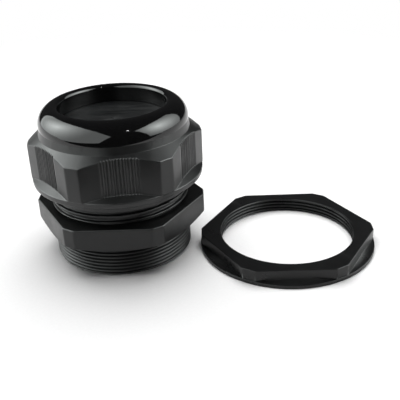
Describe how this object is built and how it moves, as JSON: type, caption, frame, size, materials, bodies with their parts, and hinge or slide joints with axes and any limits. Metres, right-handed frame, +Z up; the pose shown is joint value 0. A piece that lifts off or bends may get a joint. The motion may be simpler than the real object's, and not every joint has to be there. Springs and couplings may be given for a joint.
{
  "type": "cable gland",
  "caption": "Black nylon cable gland with ribbed domed cap, hexagonal flange, entry thread and a loose flanged lock nut.",
  "frame": {"origin": "centre of the entry thread's free end, on the surface the gland stands on", "axes": "+Z up along the gland's axis towards the cap, +X towards the loose lock nut, -Y to the front flat of the flange"},
  "size_m": [0.1467, 0.08, 0.0658],
  "materials": {
    "body_nylon": "satin",
    "cap_nylon": "glossy lip, satin sides",
    "nut_nylon": "satin",
    "claw_nylon": "satin",
    "seal_rubber": "matte",
    "disc_plastic": "matte"
  },
  "bodies": {
    "base": {"gland_body": "body_nylon", "claw_ring": "claw_nylon", "seal_insert": "seal_rubber"},
    "disc_carrier": {"dust_disc": "disc_plastic"},
    "cap": {"cap_nut": "cap_nylon"},
    "loose_nut": {"lock_nut": "nut_nylon"},
    "finger_01": {"claw_finger_01": "claw_nylon"},
    "finger_02": {"claw_finger_02": "claw_nylon"},
    "finger_03": {"claw_finger_03": "claw_nylon"},
    "finger_04": {"claw_finger_04": "claw_nylon"},
    "finger_05": {"claw_finger_05": "claw_nylon"},
    "finger_06": {"claw_finger_06": "claw_nylon"},
    "finger_07": {"claw_finger_07": "claw_nylon"},
    "finger_08": {"claw_finger_08": "claw_nylon"},
    "finger_09": {"claw_finger_09": "claw_nylon"},
    "finger_10": {"claw_finger_10": "claw_nylon"},
    "finger_11": {"claw_finger_11": "claw_nylon"},
    "finger_12": {"claw_finger_12": "claw_nylon"},
    "finger_13": {"claw_finger_13": "claw_nylon"},
    "finger_14": {"claw_finger_14": "claw_nylon"},
    "finger_15": {"claw_finger_15": "claw_nylon"},
    "finger_16": {"claw_finger_16": "claw_nylon"},
    "finger_17": {"claw_finger_17": "claw_nylon"},
    "finger_18": {"claw_finger_18": "claw_nylon"}
  },
  "joints": [
    {"name": "cap_travel", "type": "slide", "parent": "base", "child": "disc_carrier", "axis": [0, 0, 1], "range_m": [-0.00421, 0.00281], "deforming": ["seal_insert"]},
    {"name": "cap_turn", "type": "hinge", "parent": "disc_carrier", "child": "cap", "pos_m": [0, 0, 0.05715], "axis": [0, 0, 1], "range_deg": [-540, 360]},
    {"name": "nut_lift", "type": "slide", "parent": "base", "child": "loose_nut", "axis": [0.5, 0, 0.866], "range_m": [0, 0.06]},
    {"name": "finger_bend_01", "type": "hinge", "parent": "base", "child": "finger_01", "pos_m": [0.0261, 0, 0.0449], "axis": [0, 1, 0], "range_deg": [-12.1, 8.1]},
    {"name": "finger_bend_02", "type": "hinge", "parent": "base", "child": "finger_02", "pos_m": [0.02453, 0.00893, 0.0449], "axis": [-0.342, 0.9397, 0], "range_deg": [-12.1, 8.1]},
    {"name": "finger_bend_03", "type": "hinge", "parent": "base", "child": "finger_03", "pos_m": [0.01999, 0.01678, 0.0449], "axis": [-0.6428, 0.766, 0], "range_deg": [-12.1, 8.1]},
    {"name": "finger_bend_04", "type": "hinge", "parent": "base", "child": "finger_04", "pos_m": [0.01305, 0.0226, 0.0449], "axis": [-0.866, 0.5, 0], "range_deg": [-12.1, 8.1]},
    {"name": "finger_bend_05", "type": "hinge", "parent": "base", "child": "finger_05", "pos_m": [0.00453, 0.0257, 0.0449], "axis": [-0.9848, 0.1736, 0], "range_deg": [-12.1, 8.1]},
    {"name": "finger_bend_06", "type": "hinge", "parent": "base", "child": "finger_06", "pos_m": [-0.00453, 0.0257, 0.0449], "axis": [-0.9848, -0.1736, 0], "range_deg": [-12.1, 8.1]},
    {"name": "finger_bend_07", "type": "hinge", "parent": "base", "child": "finger_07", "pos_m": [-0.01305, 0.0226, 0.0449], "axis": [-0.866, -0.5, 0], "range_deg": [-12.1, 8.1]},
    {"name": "finger_bend_08", "type": "hinge", "parent": "base", "child": "finger_08", "pos_m": [-0.01999, 0.01678, 0.0449], "axis": [-0.6428, -0.766, 0], "range_deg": [-12.1, 8.1]},
    {"name": "finger_bend_09", "type": "hinge", "parent": "base", "child": "finger_09", "pos_m": [-0.02453, 0.00893, 0.0449], "axis": [-0.342, -0.9397, 0], "range_deg": [-12.1, 8.1]},
    {"name": "finger_bend_10", "type": "hinge", "parent": "base", "child": "finger_10", "pos_m": [-0.0261, 0, 0.0449], "axis": [0, -1, 0], "range_deg": [-12.1, 8.1]},
    {"name": "finger_bend_11", "type": "hinge", "parent": "base", "child": "finger_11", "pos_m": [-0.02453, -0.00893, 0.0449], "axis": [0.342, -0.9397, 0], "range_deg": [-12.1, 8.1]},
    {"name": "finger_bend_12", "type": "hinge", "parent": "base", "child": "finger_12", "pos_m": [-0.01999, -0.01678, 0.0449], "axis": [0.6428, -0.766, 0], "range_deg": [-12.1, 8.1]},
    {"name": "finger_bend_13", "type": "hinge", "parent": "base", "child": "finger_13", "pos_m": [-0.01305, -0.0226, 0.0449], "axis": [0.866, -0.5, 0], "range_deg": [-12.1, 8.1]},
    {"name": "finger_bend_14", "type": "hinge", "parent": "base", "child": "finger_14", "pos_m": [-0.00453, -0.0257, 0.0449], "axis": [0.9848, -0.1736, 0], "range_deg": [-12.1, 8.1]},
    {"name": "finger_bend_15", "type": "hinge", "parent": "base", "child": "finger_15", "pos_m": [0.00453, -0.0257, 0.0449], "axis": [0.9848, 0.1736, 0], "range_deg": [-12.1, 8.1]},
    {"name": "finger_bend_16", "type": "hinge", "parent": "base", "child": "finger_16", "pos_m": [0.01305, -0.0226, 0.0449], "axis": [0.866, 0.5, 0], "range_deg": [-12.1, 8.1]},
    {"name": "finger_bend_17", "type": "hinge", "parent": "base", "child": "finger_17", "pos_m": [0.01999, -0.01678, 0.0449], "axis": [0.6428, 0.766, 0], "range_deg": [-12.1, 8.1]},
    {"name": "finger_bend_18", "type": "hinge", "parent": "base", "child": "finger_18", "pos_m": [0.02453, -0.00893, 0.0449], "axis": [0.342, 0.9397, 0], "range_deg": [-12.1, 8.1]}
  ],
  "couplings": [
    {"joint": "cap_travel", "follows": "cap_turn", "m_per_rad": 0.00044563},
    {"joint": "finger_bend_01", "follows": "cap_turn", "ratio": 0.022222},
    {"joint": "finger_bend_02", "follows": "cap_turn", "ratio": 0.022222},
    {"joint": "finger_bend_03", "follows": "cap_turn", "ratio": 0.022222},
    {"joint": "finger_bend_04", "follows": "cap_turn", "ratio": 0.022222},
    {"joint": "finger_bend_05", "follows": "cap_turn", "ratio": 0.022222},
    {"joint": "finger_bend_06", "follows": "cap_turn", "ratio": 0.022222},
    {"joint": "finger_bend_07", "follows": "cap_turn", "ratio": 0.022222},
    {"joint": "finger_bend_08", "follows": "cap_turn", "ratio": 0.022222},
    {"joint": "finger_bend_09", "follows": "cap_turn", "ratio": 0.022222},
    {"joint": "finger_bend_10", "follows": "cap_turn", "ratio": 0.022222},
    {"joint": "finger_bend_11", "follows": "cap_turn", "ratio": 0.022222},
    {"joint": "finger_bend_12", "follows": "cap_turn", "ratio": 0.022222},
    {"joint": "finger_bend_13", "follows": "cap_turn", "ratio": 0.022222},
    {"joint": "finger_bend_14", "follows": "cap_turn", "ratio": 0.022222},
    {"joint": "finger_bend_15", "follows": "cap_turn", "ratio": 0.022222},
    {"joint": "finger_bend_16", "follows": "cap_turn", "ratio": 0.022222},
    {"joint": "finger_bend_17", "follows": "cap_turn", "ratio": 0.022222},
    {"joint": "finger_bend_18", "follows": "cap_turn", "ratio": 0.022222}
  ]
}
